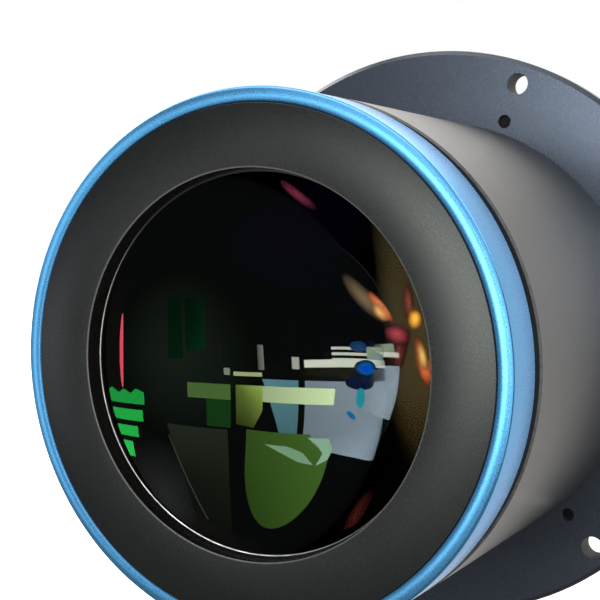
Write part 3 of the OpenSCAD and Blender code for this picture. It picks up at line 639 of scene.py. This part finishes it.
def card(
    name, corners, colour, strength, glass, distance=LIGHT_DISTANCE, soft=False, rim_share=0.0, upright=False
):
    """A flat glowing shape that only the glass shows. A corner is its azimuth, its elevation and, where it
    isn't 1, the share of the glow there. A soft shape glows fully in its middle and fades to rim_share at
    its corners. The outer surface of the glass mirrors an upright shape, and the surfaces inside mirror the
    others. Where shapes overlap, the nearest one shows."""
    corners = [tuple(corner) + (1.0,) * (3 - len(corner)) for corner in corners]
    count = len(corners)
    faces = [range(count)]
    if soft:
        middle = [sum(corner[i] for corner in corners) / count for i in range(2)]
        corners = [(*corner[:2], rim_share) for corner in corners] + [(*middle, 1.0)]
        faces = [(i, (i + 1) % count, count) for i in range(count)]
    points = [Vector((0, FACE_Y, 0)) + direction(*corner[:2]) * distance for corner in corners]
    mesh = bpy.data.meshes.new(name)
    mesh.from_pydata(points, [], faces)
    glow = mesh.attributes.new("glow", "FLOAT", "POINT")
    glow.data.foreach_set("value", [corner[2] for corner in corners])
    made = bpy.data.objects.new(name, mesh)
    bpy.context.scene.collection.objects.link(made)
    finish, shader = material(name + "_glow")
    tree = finish.node_tree
    share = add(tree, "ShaderNodeAttribute", attribute_name="glow").outputs["Fac"]
    shader.inputs["Base Color"].default_value = (0, 0, 0, 1)
    shader.inputs["Specular IOR Level"].default_value = 0.0
    shader.inputs["Emission Color"].default_value = (*colour, 1)
    tree.links.new(math_node(tree, "MULTIPLY", share, strength), shader.inputs["Emission Strength"])
    mesh.materials.append(finish)
    made.visible_camera = False
    made.visible_shadow = False
    made.visible_glossy = upright
    made.visible_transmission = not upright
    made.light_linking.receiver_collection = glass


def pane(name, left, right, low, high, colour, strength, glass, fade_share=1.0, **more):
    """A rectangular card, whose glow at its right is fade_share of that at its left."""
    corners = [(left, low), (right, low, fade_share), (right, high, fade_share), (left, high)]
    card(name, corners, colour, strength, glass, **more)


def oval(azimuth, elevation, wide, high, tilt=0):
    """Corners of an ellipse, tilted by that many degrees."""
    turn = math.radians(tilt)
    points = []
    for k in range(OVAL_STEPS):
        a = 2 * math.pi * k / OVAL_STEPS
        x, z = wide / 2 * math.cos(a), high / 2 * math.sin(a)
        across = x * math.cos(turn) - z * math.sin(turn)
        up = x * math.sin(turn) + z * math.cos(turn)
        points.append((azimuth + across, elevation + up))
    return points


def arch(left, right, low, spring, high):
    """Corners of an arched window, whose round top starts at spring. It is brightest low on its left."""
    across_share, up_share = 0.45, 0.3
    middle, half = (left + right) / 2, (right - left) / 2
    corners = [(left, low), (right, low)]
    for k in range(ARCH_STEPS + 1):
        a = math.pi * k / ARCH_STEPS
        corners.append((middle + half * math.cos(a), spring + (high - spring) * math.sin(a)))
    wide, tall = right - left, high - low
    return [(x, z, 1 - across_share * (x - left) / wide - up_share * (z - low) / tall) for x, z in corners]


def gather(name, wanted):
    """A collection of the meshes whose name is wanted, for a light that only they get."""
    made = bpy.data.collections.new(name)
    for obj in bpy.context.scene.objects:
        if obj.type == "MESH" and wanted(obj.name):
            made.objects.link(obj)
    return made


def make_lights():
    glass = gather("only_glass", lambda name: name.endswith("_glass"))
    metal = gather("not_glass", lambda name: not name.endswith("_glass"))
    flange = gather("only_flange", lambda name: name == "mounting_flange")
    ring = gather("only_ring", lambda name: name == "trim_ring_turned")
    apart = ("mounting_flange", "trim_ring_turned")
    front = gather("front_metal", lambda name: not name.endswith("_glass") and name not in apart)
    panel("top_soft", -20, 68, 60, 50, 3.2, metal)
    panel("front_soft", -6, 1, 32, 14, 8.0, front, (0.92, 1.0, 0.93))
    panel("ring_soft", -6, 1, 34, 22, 9.3, ring, (0.86, 1.0, 1.0))
    panel("ring_left", -46, 0, 16, 30, 2.4, ring, (0.8, 0.95, 1.0))
    panel("ring_right", 27, 1, 32, 40, 2.2, ring, (0.8, 0.86, 1.0))
    panel("ring_upper", -6, 30, 40, 32, 1.4, ring, (0.8, 0.86, 1.0))
    panel("flange_soft", 3, 7, 34, 17, 15.2, flange, (0.88, 0.9, 1.0))
    panel("right_soft", 58, 10, 34, 80, 2.0, metal, (1.0, 0.98, 0.95))
    panel("left_glow", -46, -3, 12, 8, 2.0, front, (0.9, 0.92, 1.0))
    panel("back_soft", 165, 42, 70, 30, 2.2, metal, (1.0, 0.97, 0.92))
    panel("rear_left", -118, 25, 40, 44, 4.0, metal, (1.0, 0.99, 0.97))
    panel("rear_right", 118, 36, 24, 34, 2.0, metal, (1.0, 0.99, 0.97))
    make_windows(glass)
    make_flares(glass)


def make_windows(glass):
    """Windows of a dark room in front of the lens, which the coatings inside mirror upside down."""
    white, green, blue = (1.0, 1.0, 0.88), (0.04, 1.0, 0.17), (0.02, 0.3, 1.0)
    ragged = [
        (28, 3), (25, 3.8), (23, 3.1), (20, 4.4), (18, 3.3), (15, 4.3), (13, 3), (10, 3.8), (10, 7), (28, 7),
    ]
    card("blind_0", ragged, green, 0.85, glass)
    blinds = ((11, 8.5, 11.5, 1.1), (13.5, 13, 16, 1.2), (16.5, 17.5, 22, 1.5))
    for k, (left, low, high, strength) in enumerate(blinds):
        pane(f"blind_{k + 1}", left, 28, low, high, green, strength, glass)
    card("arched_window", arch(-48.5, -21.5, 10.5, 18, 38), (0.46, 1.0, 0.17), 0.37, glass)
    glows = (
        ("room_glow", oval(-2, -6, 46, 44), (0.7, 1.0, 0.75), 0.038, 0.2),
        ("lower_glow", oval(6, 32, 34, 34), (0.88, 0.94, 1.0), 0.06, 0.13),
    )
    for name, corners, colour, strength, rim_share in glows:
        card(name, corners, colour, strength, glass, distance=1.9, soft=True, rim_share=rim_share)
    dim = [(2.5, 11), (-16, 11), (-17, 24, 0.5), (-21, 44, 0.2), (-8, 44, 0.15), (-1.5, 24, 0.4)]
    card("dim_window", dim, (0.8, 1.0, 0.7), 0.06, glass)
    pane("green_pane", -17, -10, 4, 10.5, (0.2, 1.0, 0.22), 0.1, glass)
    pane("green_band", -17, -4.5, 0.5, 4, (0.55, 1.0, 0.28), 0.35, glass)
    olive = [(-26, 0.5), (-18.5, 0.5, 0.35), (-18.5, 9.5, 0.08), (-23.5, 10, 0.15), (-26, 6, 0.5)]
    card("olive_pane", olive, (0.75, 1.0, 0.2), 1.1, glass)
    sky = [(-26, -1), (-36.5, -1, 0.9), (-36.5, 12, 0.6), (-31.5, 12, 0.55)]
    card("sky_pane", sky, (0.36, 0.8, 1.0), 0.75, glass)
    pane("lime_band", -49, -26, 0.5, 4, (0.85, 1.0, 0.58), 2.3, glass, fade_share=0.5, distance=1.5)
    bright = [(-38.5, -1, 0.6), (-88, -1), (-88, 18), (-60, 16), (-38.5, 13, 0.5)]
    card("bright_window", bright, (0.68, 0.8, 1.0), 1.25, glass)
    fish = [(-27, 13.6), (-34, 13.8), (-39, 15), (-43.5, 18), (-38, 17.4), (-32, 15.4)]
    card("pale_fish", fish, (0.6, 1.0, 0.6), 0.9, glass, distance=1.48)
    crescent = [(-40, 11.5), (-47.5, 11.5), (-49.5, 14), (-48.5, 16.5), (-44.5, 18), (-46, 15), (-43.5, 13)]
    card("pale_crescent", crescent, (0.62, 1.0, 0.68), 1.2, glass, distance=1.46)
    pane("long_line", -86, -38.5, -5.4, -3.8, white, 1.8, glass)
    for k in range(3):
        pane(f"line_{k}", -64, -48, -8.4 + 1.2 * k, -7.8 + 1.2 * k, white, 1.6, glass)
    pane("grey_block", -80, -64, -8.6, -4.6, (0.85, 1.0, 0.75), 0.85, glass)
    pane("shelf", -26, -18, -2.4, -1.5, (0.91, 1.0, 0.5), 1.1, glass)
    pane("lamp", -26.7, -25, -8.5, -3, white, 0.5, glass, fade_share=0.4)
    pane("sill", -17, -15.3, -3.2, -1.6, white, 0.6, glass)
    pane("post", -37, -34.8, -6, -3.4, white, 1.0, glass)
    far = [(-4.5, -6.5, 0.6), (-10.5, -7.5), (-10.5, -19.5, 0.45), (-4.5, -19.5, 0.25)]
    card("far_pane", far, (0.1, 1.0, 0.4), 0.06, glass)
    side = [(1, -5, 0.9), (-3.5, -5), (-3.5, -20, 0.6), (1, -20, 0.5)]
    card("far_side", side, (0.1, 1.0, 0.35), 0.035, glass)
    card("thin_line", [(2.4, 14), (2, 14), (-10.6, 38), (-10, 38)], white, 0.12, glass, distance=1.5)
    card("red_line", oval(18.2, -6.8, 1.5, 20), (1.0, 0.1, 0.17), 2.2, glass)
    card("blue_spot", oval(-63, -4, 13, 3.6), blue, 1.8, glass, distance=1.4, soft=True)
    card("blue_core", oval(-63, -3.7, 8, 1.8), (0.0, 0.12, 0.9), 1.6, glass, distance=1.38)
    card("navy_spot", oval(-60, -8.6, 9, 2.4), (0.05, 0.3, 1.0), 0.35, glass, distance=1.4)
    card("dark_spot", oval(-60, -0.8, 15, 3), (0.0, 0.02, 0.3), 0.25, glass, distance=1.4)
    card("cyan_spot", oval(-59.5, 2.4, 4.5, 4.4), (0.02, 0.75, 1.0), 1.0, glass, distance=1.38)
    card("cyan_streak", oval(-55.5, 6.2, 4.4, 1.2, -20), (0.02, 0.4, 1.0), 0.9, glass, distance=1.4)


def make_flares(glass):
    """Stray light near the right edge of the glass, which its outer surface shows upright."""
    olive = (1.0, 0.9, 0.2)
    olive_strength = 6.0
    core_from, rim_azimuth = 3, 5.5
    inner = [(-7, 20), (-5.6, 13), (-4.8, 8), (-3.4, 1), (-3, -4), (-3, -10), (-2.4, -16), (-1, -23)]
    shares = (0.5, 0.7, 0.9, 1.0, 1.0, 0.9, 0.5, 0.1)
    for k in range(len(inner) - 1):
        (a, b), (c, d) = inner[k], inner[k + 1]
        core = [(a + core_from, b, shares[k]), (c + core_from, d, shares[k + 1])]
        rim = [(rim_azimuth, d, shares[k + 1]), (rim_azimuth, b, shares[k])]
        faded = [(a, b, 0), (c, d, 0)] + core[::-1]
        card(f"olive_rim_{k}", core + rim, olive, olive_strength, glass, upright=True)
        card(f"olive_fade_{k}", faded, olive, olive_strength, glass, upright=True)
    # Corners, colour, strength and distance of each flare
    flares = {
        "tan": (oval(-7.2, 7, 12.5, 3.2, -44), (0.9, 0.8, 0.24), 23, 1.5),
        "orange": (oval(-4, 5.6, 7.4, 1.9, -48), (1.0, 0.3, 0.05), 150, 1.4),
        "yellow": (oval(-4, 4.6, 4.2, 1.9, -48), (1.0, 0.6, 0.12), 130, 1.3),
        "red": (oval(-0.8, 0.6, 5.2, 3.6, -20), (1.0, 0.17, 0.12), 45, 1.45),
        "brown": (oval(-0.6, -2.5, 3, 7, -12), (1.0, 0.25, 0.1), 16, 1.48),
        "upper": (oval(1.2, 6.4, 2, 7, 4), (1.0, 0.3, 0.08), 30, 1.42),
        "amber": (oval(2.6, 3.4, 2.8, 3.8), (1.0, 0.5, 0.03), 160, 1.3),
        "lower": (oval(3.9, -4.2, 2.6, 9.4, 12), (1.0, 0.24, 0.04), 160, 1.4),
        "gold": (oval(3.9, -3.2, 1.8, 5.4, 12), (1.0, 0.7, 0.1), 130, 1.3),
        "top": (oval(-23, 24.8, 10.8, 1.9, -25), (1.0, 0.22, 0.3), 15, 1.4),
        "low": (oval(-12.4, -32, 13, 2.6, 45), (1.0, 0.3, 0.2), 4, 1.4),
    }
    for name, (corners, colour, strength, distance) in flares.items():
        card(name + "_flare", corners, colour, strength, glass, distance=distance, soft=True, upright=True)


# Camera, in metres from the frame's origin and in millimetres for its lens
CAMERA_AT = (0.1118, -0.2785, 0.0200)
CAMERA_LOOK = (-0.4718, 0.8808, -0.0399)
CAMERA_ROLL = math.radians(-1.227)
CAMERA_LENS = 75.72


def make_camera():
    data = bpy.data.cameras.new("camera")
    data.lens = CAMERA_LENS
    data.sensor_width = 36.0
    data.clip_start = 0.01
    camera = bpy.data.objects.new("camera", data)
    bpy.context.scene.collection.objects.link(camera)
    camera.location = CAMERA_AT
    camera.rotation_mode = "QUATERNION"
    aim = Vector(CAMERA_LOOK).to_track_quat("-Z", "Y")
    roll = Matrix.Rotation(CAMERA_ROLL, 3, "Z").to_quaternion()
    camera.rotation_quaternion = aim @ roll
    bpy.context.scene.camera = camera


finish_nodes()
make_glass()
make_face_plate()
make_retainer()
make_trim_ring()
make_floor()
make_world()
make_lights()
make_camera()
bpy.context.scene.view_settings.view_transform = "Standard"
